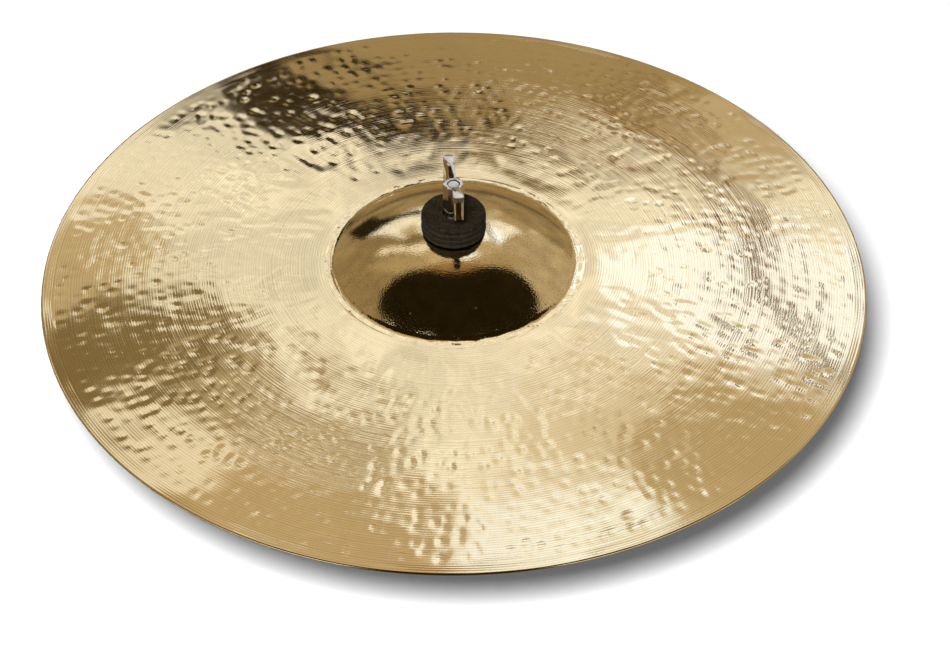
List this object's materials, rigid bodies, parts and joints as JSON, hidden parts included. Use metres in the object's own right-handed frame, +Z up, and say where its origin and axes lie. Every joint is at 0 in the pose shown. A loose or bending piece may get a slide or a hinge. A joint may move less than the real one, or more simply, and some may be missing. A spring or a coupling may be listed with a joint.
{
  "type": "crash cymbal",
  "caption": "Hammered bronze crash cymbal on its threaded post, held between felt washers by a chrome wing nut; it spins and rocks on the felts and the nut unscrews.",
  "frame": {"origin": "centre of the bottom end of the threaded post", "axes": "+Z up along the post, -Y towards the side seen from the front, +X to the right"},
  "size_m": [0.4572, 0.4572, 0.0984],
  "materials": {
    "post_steel": "zinc plated, rolled thread",
    "nut_steel": "zinc plated",
    "collar_chrome": "chrome plated, turned",
    "nylon": "black moulded nylon",
    "washer_steel": "nickel plated, pressed",
    "lower_felt": "pressed charcoal wool felt",
    "upper_felt": "pressed charcoal wool felt",
    "bronze": "hammered, lathed and buffed bronze",
    "foot_chrome": "polished chrome plate",
    "wing_nut_chrome": "polished chrome plate on a casting"
  },
  "bodies": {
    "post": {"post_rod": "post_steel", "jam_nut": "nut_steel", "seat_collar": "collar_chrome"},
    "turning_seat": {"sleeve": "nylon", "cup_washer": "washer_steel"},
    "felts": {"lower_felt": "lower_felt", "upper_felt": "upper_felt"},
    "cymbal": {"cymbal": "bronze"},
    "nut_foot": {"foot_washer": "foot_chrome"},
    "wing_nut": {"wing_nut": "wing_nut_chrome"}
  },
  "joints": [
    {"name": "cymbal_spin", "type": "hinge", "parent": "post", "child": "turning_seat", "pos_m": [0, 0, 0.06135], "axis": [0, 0, 1], "continuous": true},
    {"name": "cymbal_rock_x", "type": "hinge", "parent": "turning_seat", "child": "felts", "pos_m": [0, 0, 0.06135], "axis": [1, 0, 0], "range_deg": [-12, 12], "stiffness_Nm_per_rad": 0.8, "deforming": ["lower_felt", "upper_felt"]},
    {"name": "cymbal_rock_y", "type": "hinge", "parent": "felts", "child": "cymbal", "pos_m": [0, 0, 0.06135], "axis": [0, 1, 0], "range_deg": [-12, 12], "stiffness_Nm_per_rad": 0.8, "deforming": ["lower_felt", "upper_felt"]},
    {"name": "wing_nut_travel", "type": "slide", "parent": "post", "child": "nut_foot", "axis": [0, 0, 1], "range_m": [0, 0.00625]},
    {"name": "wing_nut_spin", "type": "hinge", "parent": "nut_foot", "child": "wing_nut", "pos_m": [0, 0, 0.077], "axis": [0, 0, 1], "range_deg": [0, 1800]}
  ],
  "couplings": [
    {"joint": "wing_nut_spin", "follows": "wing_nut_travel", "rad_per_m": 5026.5}
  ]
}
